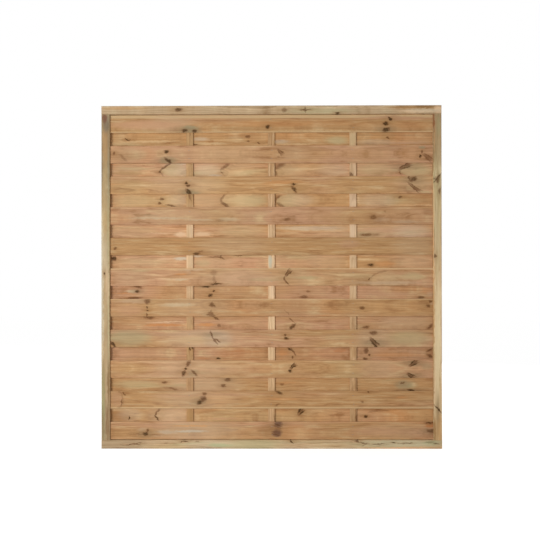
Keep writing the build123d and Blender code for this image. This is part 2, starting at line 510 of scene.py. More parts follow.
KNOTS["rear_slat_10"] = [
    spike(306, 29, 284, 14, 8, SOFT), spike(286, 18, 280, -6, 10, BROWN), spike(280, -6, 296, -28, 9, DEEP),
    spike(142, -8, 140, -26, 8, DARK), *sliced(1034, 4, 1058, 30, 28, DARK), (1388, -9, 18, 14, DARK),
    spike(1410, 14, 1470, 30, 12, FAINT),
]
KNOTS["front_slat_11"] = [
    (231, -18, 30, 22, GREY), spike(236, -8, 246, 8, 9, BROWN), (190, -20, 90, 7, FAINT),
    (280, -22, 60, 7, FAINT), (926, 30, 42, 28, (0.42, 1.0), 15), spike(906, 40, 944, 20, 5, BROWN),
    spike(906, 22, 938, 13, 5, SOFT), (920, -11, 50, 31, (0.45, 0.6), 12),
    spike(896, -17, 932, -25, 5, BROWN), (1730, -2, 46, 20, (0.8, 1.0)), spike(1696, 40, 1740, 42, 9, DEEP),
]
KNOTS["top_rail"] = [
    (405, 2, 34, 18, DEEP), (962, -1, 28, 24, SOFT), spike(1050, 0, 1095, 0, 8, BROWN),
    spike(1071, 14, 1071, -14, 6, DEEP), (1071, 0, 18, 14, SOFT), (1240, -18, 24, 8, DARK),
]
KNOTS["bottom_rail"] = [
    spike(94, 0, 126, -6, 4, FAINT), spike(126, -5, 165, 3, 5, DEEP), spike(160, 5, 200, -2, 5, BROWN),
    spike(170, 0, 207, 11, 5, BROWN), spike(207, 10, 196, -4, 4, FAINT), (345, 6, 36, 4, FAINT),
    spike(416, 12, 428, 18, 5, DARK), spike(424, 18, 452, 14, 5, DARK), (504, 16, 16, 7, SOFT),
    spike(990, 20, 1004, 8, 7, DARK), *star(1339, 19, 24, BROWN), spike(1355, 11, 1398, 4, 5, BROWN),
    spike(1398, 4, 1366, -6, 4, BROWN), spike(1418, -2, 1484, 8, 5, BROWN),
    spike(1440, -8, 1500, -1, 4, FAINT), spike(1520, 12, 1540, 8, 6, DARK), spike(1552, 4, 1592, 7, 5, SOFT),
    spike(1585, 5, 1625, 10, 6, BROWN), spike(1700, 10, 1740, 14, 8, (0.4, 1.0)),
    spike(1744, 8, 1772, 2, 7, BROWN),
]
KNOTS["left_stile"] = [(920, 6, 14, 9, DARK), (1731, 5, 56, 16, FAINT)]
KNOTS["right_stile"] = [
    *star(1413, 0, 46, BROWN), spike(1395, 18, 1440, -18, 5, DARK), (1349, -11, 28, 12, (0.6, 1.0)),
    (1010, 11, 18, 14, BROWN), spike(225, 16, 190, -18, 10, GREY),
]
KNOTS["batten_1"] = [
    spike(1340, 6, 1305, -6, 9, SOFT), spike(533, 3, 515, -2, 8, DARK), (528, -12, 14, 9, DARK),
]
KNOTS["batten_2"] = [(158, -15, 40, 6, SOFT)]
KNOTS["batten_3"] = [(1439, 8, 26, 18, BROWN, 30), (155, -15, 44, 7, BROWN)]

# Tongues of each board: the place of the point along and across the board, the way that the
# tongue runs from it (1 to the right, -1 to the left), its bow and reach in millimetres, how pale its wood is
# and how dark its edge is.
TONGUES = {}
TONGUES["rear_slat_02"] = [
    (306, -1, 1, 19, 150, 0.8, 0.1), (626, -5, 1, 28, 260, 0.4, 0.3), (912, -6, 1, 30, 280, 0.35, 0.2),
    (1566, -3, 1, 20, 220, 0.9, 0.2),
]
TONGUES["front_slat_03"] = [(1614, 11, 1, 28, 150, 0.3, 0.1)]
TONGUES["rear_slat_03"] = [
    (299, 0, 1, 25, 150, 0.6, 0.1), (624, 1, 1, 33, 270, 0.7, 0.1), (915, -2, 1, 22, 170, 0.9, 0.2),
]
TONGUES["front_slat_10"] = [(112, 0, -1, 90, 110, 0.1, 0.4)]
TONGUES["rear_slat_10"] = [(279, -1, 1, 26, 70, 0.2, 0.3)]

STRETCH_WIDTH = 130


def pale(place, length, strength):
    """A paler stretch of a slat, over its whole width. Stretches centred within about 720 mm of the left end
    are painted sheen, the broad glossy reflection of a lamp; those further right are paler wood.
    """
    return (place, 0, length, STRETCH_WIDTH, BLUSH, strength)


# Patches of each board: the place of the middle along and across the board, the length and
# width in millimetres, the colour, and how strong it is in percent.
# pale() stretches centred within about 720 mm of the left end are painted sheen of a lamp, not paler wood.
PATCHES = {}
PATCHES["front_slat_01"] = [
    (468, -26, 96, 30, SLATE, 100), (500, -24, 90, 34, UMBER, 40), (1610, 44, 300, 7, STRAW, 80),
    (1120, -38, 560, 7, STRAW, 70), (1560, 28, 420, 22, PINK, 90), (230, -4, 420, 50, PINK, 90),
    (980, 0, 900, 40, GINGER, 40), (1640, -10, 240, 60, GINGER, 30), (360, 0, 240, 110, BLUSH, 45),
]
PATCHES["rear_slat_01"] = [
    (244, -10, 330, 12, STRAW, 70), (94, -22, 200, 14, STRAW, 50), (1239, -5, 130, 44, SAGE, 100),
    (1010, -24, 330, 9, STRAW, 60), (600, -4, 140, 8, STRAW, 40), (1600, -20, 220, 14, PINK, 60),
    (570, -22, 210, 15, STRAW, 90), (1450, -16, 230, 36, MIST, 32), (1640, -18, 240, 28, MIST, 16),
    (700, 18, 160, 20, UMBER, 35), (940, -12, 100, 20, MIST, 50), (520, 2, 90, 24, MIST, 50),
]
PATCHES["front_slat_02"] = [
    (345, -30, 90, 40, SLATE, 60), (154, -12, 180, 34, UMBER, 18), (1685, 32, 40, 22, SLATE, 80),
    (1715, -16, 60, 40, UMBER, 35), (1000, -30, 300, 14, HONEY, 50), (650, 0, 420, 110, STRAW, 25),
    (1620, 5, 150, 90, APRICOT, 30), (1400, 0, 320, 90, HONEY, 45), (150, 0, 180, 100, SLATE, 20),
    (1000, 0, 200, 90, BLUSH, 25), (305, 6, 40, 30, UMBER, 30),
]
PATCHES["rear_slat_02"] = [
    (184, 8, 220, 16, SAGE, 60), (136, -14, 160, 22, HONEY, 80), (136, -18, 160, 22, UMBER, 42),
    (241, 28, 90, 14, STRAW, 60), (409, 30, 80, 16, MIST, 70), (597, -28, 80, 14, MIST, 60),
    (555, 0, 150, 60, STRAW, 40), (1694, -8, 130, 50, SAGE, 60), (1550, 0, 60, 30, SLATE, 40),
    (390, 0, 150, 90, MIST, 40), (560, 0, 150, 80, MIST, 25), (1220, 0, 200, 90, MIST, 25),
    (970, 0, 120, 80, SLATE, 25), (1440, 0, 240, 90, SAGE, 50), (130, 0, 190, 80, SLATE, 30),
    pale(480, 460, 30),
]
PATCHES["front_slat_03"] = [
    (475, -38, 110, 12, SLATE, 70), (254, 5, 260, 7, STRAW, 40), (130, 0, 180, 100, SLATE, 20),
    (590, 0, 200, 100, STRAW, 25), (1640, 0, 220, 100, BLUSH, 30), (1700, -36, 80, 12, SAGE, 70),
    (1618, -16, 36, 26, STRAW, 50), pale(430, 420, 40),
]
PATCHES["rear_slat_03"] = [
    (1664, -26, 260, 10, STRAW, 60), (1620, -2, 300, 30, SAGE, 30), (170, 0, 260, 90, SAGE, 50),
    (400, 0, 120, 90, MIST, 35), (770, 0, 240, 70, SAGE, 70), (770, 0, 240, 80, SLATE, 16),
    (1030, 0, 200, 80, MIST, 30), (1450, 0, 220, 90, MIST, 30), (1670, 4, 140, 80, UMBER, 30),
    pale(560, 240, 45),
]
PATCHES["front_slat_04"] = [
    (144, 22, 190, 26, UMBER, 28), (304, -12, 330, 14, ASH, 70), (524, -22, 160, 10, ASH, 60),
    (1104, 12, 300, 16, UMBER, 20), (260, 0, 100, 12, SLATE, 30), (450, 0, 850, 110, SAGE, 20),
    (1180, 0, 240, 90, HONEY, 35), (1720, 16, 80, 40, UMBER, 50), (70, 34, 60, 30, UMBER, 55),
    (1600, -34, 160, 20, BLUSH, 60), (1470, -22, 100, 24, BLUSH, 40), (670, -20, 120, 20, ASH, 60),
]
PATCHES["rear_slat_04"] = [
    (415, -17, 84, 28, CREAM, 100), (528, -15, 110, 26, CREAM, 80), (120, 20, 190, 12, STRAW, 35),
    (600, -24, 80, 8, UMBER, 40), (300, -10, 150, 10, CREAM, 40), (230, -16, 260, 12, PINK, 70),
    (1030, 12, 180, 24, STRAW, 40), (150, 0, 300, 90, SLATE, 25), (730, 0, 280, 90, SAGE, 40),
    (1100, 16, 380, 26, MIST, 50), (1600, -26, 240, 16, BLUSH, 70), (1640, 0, 220, 90, MIST, 30),
    pale(1420, 620, 35),
]
PATCHES["front_slat_05"] = [
    (700, -24, 300, 12, STRAW, 35), (1300, 12, 120, 50, PINK, 60), pale(690, 400, 30), pale(1640, 240, 30),
]
PATCHES["rear_slat_05"] = [
    (224, 0, 280, 30, STRAW, 35), (416, 17, 84, 20, MIST, 100), (530, -8, 90, 44, SAGE, 50),
    (340, 16, 120, 12, CREAM, 50), (1490, -12, 120, 30, GINGER, 60), (1376, 12, 90, 14, STRAW, 60),
    (1399, 32, 70, 16, STRAW, 60), (498, 32, 80, 16, MIST, 60), (953, 22, 60, 20, UMBER, 30),
    (70, -26, 44, 22, UMBER, 45), (72, 34, 30, 12, GINGER, 90), (200, 0, 300, 90, SLATE, 25),
    pale(580, 220, 35), pale(1180, 240, 35), pale(1640, 240, 35),
]
PATCHES["front_slat_06"] = [
    (416, 14, 70, 14, GINGER, 70), (386, -9, 240, 9, CREAM, 60), (420, -14, 80, 8, ASH, 80),
    (1074, -3, 160, 18, SAGE, 80), (1634, 3, 130, 44, SAGE, 70), (864, -14, 200, 24, SAGE, 50),
    (1710, 24, 90, 24, UMBER, 35), (62, -26, 44, 26, UMBER, 50), (160, 0, 220, 110, SLATE, 20),
    (1010, 0, 200, 110, SAGE, 30), (1440, 0, 220, 110, STRAW, 20), (1500, -32, 380, 22, BLUSH, 70),
    (480, 36, 160, 14, BLUSH, 80), pale(700, 460, 40),
]
PATCHES["rear_slat_06"] = [
    (124, -8, 160, 10, GINGER, 50), (168, 28, 70, 16, UMBER, 40), (150, 6, 66, 13, ASH, 90),
    (1604, 10, 260, 10, UMBER, 30), (1500, -10, 300, 24, PINK, 70), (1730, -12, 50, 30, BLUSH, 60),
    (1713, 32, 60, 16, BLUSH, 60),
]
PATCHES["front_slat_07"] = [
    (399, 16, 200, 22, ASH, 70), (1004, 14, 500, 10, UMBER, 20), (1690, 22, 50, 30, UMBER, 25),
    (1738, 20, 30, 14, BLUSH, 50), (150, -14, 160, 60, PINK, 60), (1010, 0, 200, 110, UMBER, 25),
    (1550, 0, 380, 110, APRICOT, 20), (170, 34, 200, 20, BLUSH, 70), pale(490, 420, 35),
]
PATCHES["rear_slat_07"] = [
    (340, 6, 230, 8, CREAM, 80), (329, -11, 230, 16, GINGER, 90), (549, -10, 116, 16, GINGER, 90),
    (329, -11, 230, 16, RUST, 20), (80, 0, 140, 60, UMBER, 35), (760, 0, 240, 80, HONEY, 35),
    pale(1600, 320, 40),
]
PATCHES["front_slat_08"] = [
    (154, 4, 240, 84, SAGE, 60), (130, 0, 240, 110, SLATE, 45), (1614, 0, 240, 84, SAGE, 80),
    (1244, 4, 200, 30, SAGE, 40), (480, -10, 200, 50, STRAW, 40), (640, -30, 120, 26, STRAW, 50),
    (345, 38, 130, 12, STRAW, 70), (610, 0, 160, 90, MIST, 35), pale(510, 420, 60), pale(1430, 200, 55),
]
PATCHES["rear_slat_08"] = [
    (759, 12, 240, 14, RUST, 55), (529, -24, 90, 10, GINGER, 70), (1252, 14, 90, 18, RUST, 60),
    (1150, -4, 330, 80, RUST, 25), (950, 0, 90, 80, RUST, 25), (954, 6, 60, 40, GINGER, 60),
    (1550, -8, 300, 24, GINGER, 40), (1725, 2, 60, 50, UMBER, 50), (200, 0, 300, 60, PINK, 60),
    (900, 20, 120, 16, UMBER, 30), (730, -8, 260, 90, RUST, 36),
]
PATCHES["front_slat_09"] = [
    (620, 14, 300, 16, STRAW, 30), (1710, 14, 70, 40, SLATE, 40), (480, -20, 60, 40, SLATE, 40),
    pale(490, 460, 50), pale(1440, 200, 35),
]
PATCHES["rear_slat_09"] = [
    (184, 0, 280, 44, SAGE, 70), (1632, -8, 56, 40, SAGE, 70), (1590, -6, 100, 56, SLATE, 70),
    (1640, -4, 30, 20, STRAW, 60), (1725, 26, 60, 24, UMBER, 50), (400, -6, 160, 14, SAGE, 60),
    pale(520, 440, 60),
]
PATCHES["front_slat_10"] = [
    (80, 4, 76, 90, PINK, 70), (76, 0, 90, 100, UMBER, 30), (1574, 12, 60, 14, GINGER, 60),
    (600, 0, 180, 90, APRICOT, 30), (1560, -5, 360, 90, UMBER, 15), (380, 20, 300, 16, PINK, 50),
    (576, -26, 80, 20, BLUSH, 60), (246, 42, 120, 10, STRAW, 60), (535, 4, 44, 26, PLUM, 60),
    pale(490, 440, 50),
]
PATCHES["rear_slat_10"] = [
    (604, 4, 200, 14, UMBER, 30), (150, 0, 140, 80, MIST, 30), (85, -6, 110, 70, UMBER, 75),
    (640, -20, 200, 12, PINK, 60), pale(360, 260, 75),
]
PATCHES["front_slat_11"] = [
    (469, 25, 230, 12, APRICOT, 90), (465, -4, 190, 15, MIST, 100), (1722, 24, 60, 28, RUST, 95),
    (1728, 34, 54, 16, UMBER, 70), (1730, -20, 60, 26, UMBER, 45), (921, -11, 54, 33, PLUM, 100),
    (927, 30, 48, 30, PLUM, 95), (924, 9, 54, 14, UMBER, 80), (1020, -6, 200, 90, GINGER, 40),
    (335, -8, 110, 24, BLUSH, 70), (345, -8, 120, 24, MIST, 50), (215, 0, 60, 20, BLUSH, 70),
    (304, -26, 80, 14, BLUSH, 60), (662, 2, 120, 26, BLUSH, 60), (870, 5, 110, 70, UMBER, 35),
    (1450, 0, 300, 50, PINK, 50), (260, 20, 200, 30, PINK, 60), pale(490, 460, 65), pale(1540, 340, 25),
]
PATCHES["top_rail"] = [
    (114, 11, 240, 20, GINGER, 60), (1594, 12, 190, 15, UMBER, 60), (1690, 13, 130, 16, UMBER, 100),
    (1640, 12, 300, 18, GINGER, 90), (1664, -9, 220, 15, CREAM, 100), (1150, -6, 400, 30, SAGE, 60),
    (1766, -2, 50, 44, CREAM, 90), (1700, -6, 240, 22, ASH, 40),
]
PATCHES["bottom_rail"] = [
    (619, -4, 140, 22, MOSS, 100), (1584, -18, 440, 14, APRICOT, 90), (1540, 6, 520, 34, SAGE, 90),
    (1560, 4, 480, 42, ASH, 45), (1725, 9, 90, 18, MOSS, 90), (1050, 10, 500, 14, SLATE, 20),
    (90, 0, 330, 90, UMBER, 30), (90, 0, 330, 90, SLATE, 32), (800, 0, 320, 70, SAGE, 75),
    (560, 2, 280, 60, ASH, 32),
]
PATCHES["left_stile"] = [
    (850, 17, 860, 13, ASH, 90), (1698, -2, 84, 34, SLATE, 80), (1736, 6, 50, 24, PLUM, 75),
    (900, -15, 1500, 14, SAGE, 70), (900, 2, 1600, 16, HONEY, 60), (110, -10, 240, 22, UMBER, 72),
    (110, 15, 240, 18, UMBER, 45), (370, 12, 280, 20, UMBER, 34), (1010, 6, 250, 40, ASH, 42),
    (1600, 2, 220, 44, GINGER, 60), (340, -15, 260, 14, UMBER, 85), (1500, 18, 340, 8, SLATE, 60),
    # The last umber strip here, down the stile's whole height at its inner edge beside the opening, is
    # painted shade.
    (1500, -14, 340, 12, SLATE, 40), (240, 13, 480, 22, MOSS, 65), (900, -20.5, 1800, 5, UMBER, 70),
    (860, -8, 240, 22, CREAM, 45),
]
PATCHES["right_stile"] = [
    (560, -2, 720, 34, STRAW, 70), (880, 20, 900, 6, GINGER, 90), (1330, 0, 800, 40, SAGE, 40),
    (100, 0, 200, 44, GINGER, 40), (100, 4, 200, 40, UMBER, 25), (1560, 20, 400, 7, UMBER, 80),
    (1690, -6, 130, 20, SAGE, 90), (1640, 0, 300, 30, GINGER, 30), (1650, 16, 230, 14, GINGER, 80),
    (1445, -8, 80, 24, STRAW, 60), (500, 21, 1000, 6, UMBER, 70), (90, 17, 180, 18, UMBER, 100),
    (1715, 18, 110, 11, RUST, 100),
]
PATCHES["batten_1"] = [
    (1100, -8, 300, 8, CREAM, 60), (1660, 0, 130, 7, UMBER, 40), (1500, -7, 100, 7, UMBER, 40),
    (1463, 0, 110, 40, UMBER, 15), (175, 0, 130, 44, HONEY, 90), (175, 0, 130, 44, UMBER, 22),
]
PATCHES["batten_2"] = [
    (981, 6, 76, 22, MIST, 100), (820, -4, 90, 24, CREAM, 60), (1640, 6, 100, 8, UMBER, 40),
    (1625, 0, 110, 44, UMBER, 25),
]
PATCHES["batten_3"] = [
    (330, -13, 440, 8, UMBER, 60), (1140, 2, 110, 30, CREAM, 80), (1630, 2, 120, 40, SAGE, 40),
    (1463, -4, 110, 34, CREAM, 40), (1302, 0, 120, 44, CREAM, 60),
]


class Board:
    """How the wood of one board differs from its neighbours. Its number sets where the pith lies."""

    def __init__(self, number, palette, tone=0.5, light=1.0, green=0.2):
        self.grain = {
            "Seed": number,
            "Pith across": MM * (((number * 37) % 90) - 45),
            "Pith depth": MM * (30 + (number * 23) % 50) * (1 if number % 2 else -1),
            "Ring width": MM * (3.2 + (number * 7 % 5) * 0.7),
        }
        self.palette = palette
        self.tone = tone
        self.light = light
        self.green = green


# Front and rear slats from the top: tone from pink (0) to honey (1), lightness, and greenness
FRONT_TONES = [
    (0.60, 0.98, 0.2), (0.45, 0.97, 0.2), (0.60, 1.05, 0.3), (0.45, 0.96, 0.6), (0.85, 0.95, 0.2),
    (0.50, 1.01, 0.7), (0.55, 0.95, 0.2), (0.50, 0.94, 0.9), (0.50, 0.98, 0.5), (0.65, 0.97, 0.3),
    (0.50, 0.98, 0.4),
]
REAR_TONES = [
    (0.65, 1.04, 0.7), (0.50, 1.10, 0.9), (0.60, 1.15, 0.9), (0.50, 1.12, 0.8), (0.50, 1.07, 0.8),
    (0.45, 0.98, 0.3), (0.50, 1.02, 0.3), (0.45, 0.93, 0.1), (0.65, 1.00, 0.6), (0.65, 1.02, 0.4),
]
# Widths of the paler band along an edge, in millimetres. Most are sapwood; the thin top bands of
# front_slat_06 and front_slat_07 are painted highlights, where the rounded top edge catches the light.
SAP_AND_HIGHLIGHT_TOP = {"front_slat_01": 17, "front_slat_06": 5, "front_slat_07": 4}
SAP_BOTTOM = {"front_slat_01": 5, "front_slat_10": 8}
# How pale each batten is up its height, from its foot (0) to its head (1)
BATTEN_PALENESS = {
    "batten_1": [
        (0.0, 0.0), (0.2, 0.06), (0.28, 0.15), (0.40, 0.3), (0.52, 0.8), (0.64, 0.8), (0.72, 0.14),
        (1.0, 0.16),
    ],
    "batten_2": [
        (0.0, 0.15), (0.12, 0.3), (0.25, 0.75), (0.45, 0.95), (0.60, 0.75), (0.72, 0.3), (1.0, 0.05),
    ],
    "batten_3": [
        (0.0, 0.3), (0.1, 0.28), (0.2, 0.16), (0.29, 0.14), (0.37, 0.5), (0.50, 0.8), (0.72, 0.98),
        (0.82, 0.6), (1.0, 0.5),
    ],
}

# How light each stile is up its height, as a share of the lightest place
STILE_LIGHT = {
    "left_stile": [
        (0.0, 0.82), (0.08, 0.84), (0.15, 0.92), (0.30, 0.98), (0.66, 1.0), (0.76, 0.86), (0.91, 0.82),
        (0.94, 0.70), (1.0, 0.72),
    ],
    "right_stile": [
        (0.0, 0.86), (0.11, 0.88), (0.14, 0.95), (0.36, 1.0), (0.48, 1.0), (0.58, 0.90), (0.74, 0.92),
        (0.81, 0.90), (0.85, 0.62), (1.0, 0.48),
    ],
}

BOARDS = {}
for number, (name, tones) in enumerate(zip(SLATS, FRONT_TONES + REAR_TONES), start=1):
    BOARDS[name] = Board(number, SLAT_WOOD, *tones)
for number, name in enumerate(BATTENS + ["left_spacer", "right_spacer"], start=31):
    BOARDS[name] = Board(number, BATTEN_WOOD)
BOARDS["top_rail"] = Board(41, FRAME_WOOD, 0.3, 1.06, 0.6)
BOARDS["bottom_rail"] = Board(42, FRAME_WOOD, 0.4, 1.13, 0.9)
BOARDS["left_stile"] = Board(43, FRAME_WOOD, 0.5, 0.96, 0.8)
BOARDS["right_stile"] = Board(44, FRAME_WOOD, 0.5, 1.36, 0.8)

# Noise over the face of a board: cells per metre along and across, layer and detail
WAVE_ALONG = (55.0, 90.0, 0.0, 3.0)
WAVE_ACROSS = (45.0, 90.0, 20.0, 3.0)
MOTTLE = (150.0, 260.0, 60.0, 2.0)
# How far the outlines of marks waver, and those of patches besides
WAVE_LENGTH = 22 * MM
WAVE_WIDTH = 16 * MM
PATCH_WAVE = 14 * MM
# Steps of noise: where a colour begins, where it is full, and how much it covers at the two
TONE_STEP = (-0.16, 0.16)
GINGER_STEP = (0.08, 0.28, 0.0, 0.6)
GREEN_STEP = (-0.04, -0.24, 0.0)
PALE_STREAK = (0.0, 0.24, 0.0, 0.85)
DARK_STREAK = (0.0, -0.24, 0.0, 0.85)
TONGUE_STEP = (-0.1, 0.1)
RIM_STEP = (0.6, 0.95)
HEART_STEP = (-0.1, 0.9)
MOTTLE_STEP = (-0.3, 0.1, 0.6, 1.0)
# How much each mark covers
LATE_COVER = 0.3
EDGE_BAND_COVER = 0.8
EDGE_BAND_BLUR = 3 * MM
PATCH_COVER = 0.85
TONGUE_COVER = 0.65
HALO_COVER = 0.5
GREY_COVER = 0.4
LINE_COVER = 0.7
# Light, sheen and relief
WOOD_LIGHT = 1.06
FIBRE_SHADE = 0.24
BAND_SHADE = 0.14
BLOTCH_SHADE = 0.18
SHEEN = 0.12
ROUGHNESS = 0.72
ROUGH_STREAK = 0.12
KNOT_POLISH = 0.12
FIBRE_RELIEF = 0.6
LATE_RELIEF = 0.35
RELIEF = {"Strength": 0.2, "Distance": 0.6 * MM}
# Zinc plate
ZINC_CELLS = 900.0
BLOOM_STEP = (-0.2, 0.25)
BLOOM_ROUGHNESS = 0.25
ZINC_ROUGHNESS = 0.5
ZINC_METAL = 0.85


def new_material(name):
    """A material with its tree and its shader."""
    material = bpy.data.materials.new(name)
    material.use_nodes = True
    return material, Tree(material.node_tree), material.node_tree.nodes["Principled BSDF"]


def board_coordinates(tree, name):
    """Places along the panel and, from the board's middle, across and through it, and half its width."""
    low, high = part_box(name)
    middle = (low + high) / 2
    x, y, z = tree.place()
    if high.x - low.x > high.z - low.z:
        return x - panel_low.x, z - middle.z, y - middle.y, (high.z - low.z) / 2
    return z - panel_low.z, (x - middle.x) * -1.0, y - middle.y, (high.x - low.x) / 2


def oval(x, y, length, width):
    """Inputs that place a knot or a patch, from millimetres."""
    return {"X": x * MM, "Y": y * MM, "Half length": length * MM / 2, "Half width": width * MM / 2}


def knot_marks(tree, name, place):
    """Core, rim, halo, grey and bend of the knots of a board."""
    marks = {}
    for x, y, length, width, (strength, greyness), *turn in KNOTS.get(name, []):
        angle = math.radians(turn[0]) if turn else 0.0
        kind = {"Turn": angle, "Strength": strength, "Greyness": greyness}
        marks = tree.group(KNOT, {**place, **marks, **oval(x, y, length, width), **kind})
    return marks.values() or [0.0] * 5


def tongue_marks(tree, name, place):
    """Inside, edge and nest of the tongues of a board."""
    marks = {}
    for x, y, way, bow, reach, strength, line in TONGUES.get(name, []):
        form = {"X": x * MM, "Y": y * MM, "Way": way, "Bow": bow * MM, "Reach": reach * MM}
        marks = tree.group(TONGUE, {**place, **marks, **form, "Strength": strength, "Line": line})
    return marks.values() or [0.0] * 3


def patch_mask(tree, name, colour, place):
    """How much of one colour the patches of a board lay on it, or 0 if it has none of that colour."""
    mask = {}
    for *form, patch_colour, strength in PATCHES.get(name, []):
        if patch_colour == colour:
            mask = tree.group(PATCH, {**place, **mask, **oval(*form), "Strength": strength / 100})
    return mask.get("Patch", 0.0)


def up_its_height(tree, along, stops):
    """A number that follows the stops from the foot of the panel to its head."""
    return tree.ramp(along / (panel_high.z - panel_low.z), stops)


def clear_wood(tree, name, along, across, half, grain):
    """The colour of a board between its marks: pink to honey, ginger and green tints, streaks, sapwood and
    painted top-edge highlights.
    """
    board = BOARDS[name]
    woods = board.palette
    tone = tree.smooth(grain["Drift"] + (board.tone - 0.5), *TONE_STEP)
    colour = tree.mix(tone, woods[PINK], woods[HONEY])
    colour = tree.mix(tree.smooth(grain["Tint"], *GINGER_STEP), colour, woods[GINGER])
    colour = tree.mix(tree.smooth(grain["Tint"], *GREEN_STEP, board.green), colour, woods[SAGE])
    if name in BATTEN_PALENESS:
        colour = tree.mix(up_its_height(tree, along, BATTEN_PALENESS[name]), colour, woods[STRAW])
    colour = tree.mix(tree.smooth(grain["Streak"], *PALE_STREAK), colour, woods[STRAW])
    colour = tree.mix(tree.smooth(grain["Streak"], *DARK_STREAK), colour, woods[UMBER])
    colour = tree.mix(grain["Late"] * LATE_COVER, colour, woods[UMBER])
    # Paler bands along the edges: sapwood, and on two front slats a painted highlight where the top edge
    # catches the light.
    for way, widths in ((1.0, SAP_AND_HIGHLIGHT_TOP), (-1.0, SAP_BOTTOM)):
        if name in widths:
            start = half - widths[name] * MM
            edge_band = tree.smooth(across * way, start - EDGE_BAND_BLUR, start + EDGE_BAND_BLUR)
            colour = tree.mix(edge_band * EDGE_BAND_COVER, colour, woods[STRAW])
    return colour


def wood_material(name):
    """The wood of one board: grain bent round its knots, tongues of paler wood and patches of colour."""
    board = BOARDS[name]
    woods = board.palette
    material, tree, shader = new_material("wood_" + name)
    along, across, depth, half = board_coordinates(tree, name)

    def ripple(lengthwise, crosswise, layer, detail):
        return tree.noise(along * lengthwise, across * crosswise, board.grain["Seed"] + layer, detail)

    wave_x = along + ripple(*WAVE_ALONG) * WAVE_LENGTH
    wave_y = across + ripple(*WAVE_ACROSS) * WAVE_WIDTH
    mottle = ripple(*MOTTLE)
    place = {"Along": wave_x, "Across": wave_y}
    core, rim, halo, grey, bend = knot_marks(tree, name, place)
    inside, edge, nest = tongue_marks(tree, name, place)
    face = {"Along": along, "Across": across + bend, "Depth": depth, "Nest": nest}
    grain = tree.group(GRAIN, {**board.grain, **face})

    colour = clear_wood(tree, name, along, across, half, grain)
    place["Across"] = wave_y + bend + grain["Streak"] * PATCH_WAVE
    for kind in COLOURS:
        patch = patch_mask(tree, name, kind, place)
        if patch:
            colour = tree.mix(patch * PATCH_COVER, colour, woods[kind])
    paler = tree.mix(tree.smooth(grain["Drift"], *TONGUE_STEP), woods[SAGE], woods[STRAW])
    colour = tree.mix(inside * TONGUE_COVER, colour, paler)

    shade = grain["Fibre"] * FIBRE_SHADE + (grain["Band"] * BAND_SHADE + grain["Blotch"] * BLOTCH_SHADE)
    if name in STILE_LIGHT:
        shade = shade + (up_its_height(tree, along, STILE_LIGHT[name]) - 1.0)
    colour = tree.mix(1.0, colour, shade + board.light * WOOD_LIGHT, "MULTIPLY")
    colour = tree.mix(halo * HALO_COVER, colour, HALO)
    colour = tree.mix(grey * GREY_COVER, colour, GREY_HALO)
    colour = tree.mix(edge * LINE_COVER, colour, LINE)
    bark = tree.mix(tree.smooth(core, *RIM_STEP), SOFT_RIM, KNOT_RIM)
    heart = tree.mix(tree.smooth(rim + mottle, *HEART_STEP), KNOT_HEART, bark)
    colour = tree.mix(core * tree.smooth(mottle, *MOTTLE_STEP), colour, heart)
    tree.feed(shader.inputs["Base Color"], colour)

    rough = grain["Streak"] * ROUGH_STREAK + ROUGHNESS
    tree.feed(shader.inputs["Roughness"], rough - core * KNOT_POLISH)
    shader.inputs["Specular IOR Level"].default_value = SHEEN
    height = grain["Fibre"] * FIBRE_RELIEF + grain["Late"] * LATE_RELIEF
    tree.feed(shader.inputs["Normal"], tree.out("ShaderNodeBump", {**RELIEF, "Height": height}))
    return material


def zinc_material():
    """Dull zinc plate with a patchy grey bloom."""
    material, tree, shader = new_material("zinc")
    bloom = tree.noise(*[axis * ZINC_CELLS for axis in tree.place()], 3.0)
    colour = tree.mix(tree.smooth(bloom, *BLOOM_STEP), srgb(128, 126, 118), srgb(176, 174, 166))
    tree.feed(shader.inputs["Base Color"], colour)
    tree.feed(shader.inputs["Roughness"], bloom * BLOOM_ROUGHNESS + ZINC_ROUGHNESS)
    shader.inputs["Metallic"].default_value = ZINC_METAL
    return material


def dress(name, material):
    """Give a CAD piece its material."""
    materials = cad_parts[name].data.materials
    materials.clear()
    materials.append(material)


ZINC = zinc_material()
dress("corner_screws", ZINC)
for name in BOARDS:
    dress(name, wood_material(name))


# Staples: two through each slat into each batten, on both sides of the panel
STAPLE_CROWN = 10 * MM
STAPLE_LEG = 4 * MM
STAPLE_BEND = 1.2 * MM
STAPLE_WIRE = 0.6 * MM
STAPLE_SPREAD = 44 * MM
STAPLE_TILT = 9.0
STAPLE_SHIFT = 3 * MM
TILT_PACE = 12.9
SHIFT_PACE = 7.7
WIRE_SIDES = 8
BEND_STEPS = 3


def staple_path():
    """Points (along the crown, out of the wood) of the middle of the wire, from tip to tip."""
    half = STAPLE_CROWN / 2
    bend = []
    for step in range(BEND_STEPS + 1):
        angle = math.pi * (1 - step / BEND_STEPS / 2)
        bend.append((STAPLE_BEND * (1 + math.cos(angle)) - half, STAPLE_BEND * (math.sin(angle) - 1)))
    left = [(-half, -STAPLE_LEG)] + bend
    return left + [(-s, t) for s, t in reversed(left)]


def add_staple(mesh, centre, outward, tilt):
    """Sweep the round wire of one staple along its path."""
    crown = Vector((math.cos(tilt), 0.0, math.sin(tilt)))
    side = crown.cross(outward)
    points = [centre + crown * s + outward * t for s, t in staple_path()]
    rings = []
    for index, point in enumerate(points):
        run = points[min(index + 1, len(points) - 1)] - points[max(index - 1, 0)]
        normal = side.cross(run.normalized())
        ring = []
        for corner in range(WIRE_SIDES):
            angle = 2 * math.pi * corner / WIRE_SIDES
            spoke = normal * math.cos(angle) + side * math.sin(angle)
            ring.append(mesh.verts.new(point + spoke * STAPLE_WIRE))
        rings.append(ring)
    for one, two in zip(rings, rings[1:]):
        for corner in range(WIRE_SIDES):
            after = (corner + 1) % WIRE_SIDES
            mesh.faces.new((one[corner], one[after], two[after], two[corner]))
    mesh.faces.new(rings[0])
    mesh.faces.new(rings[-1])


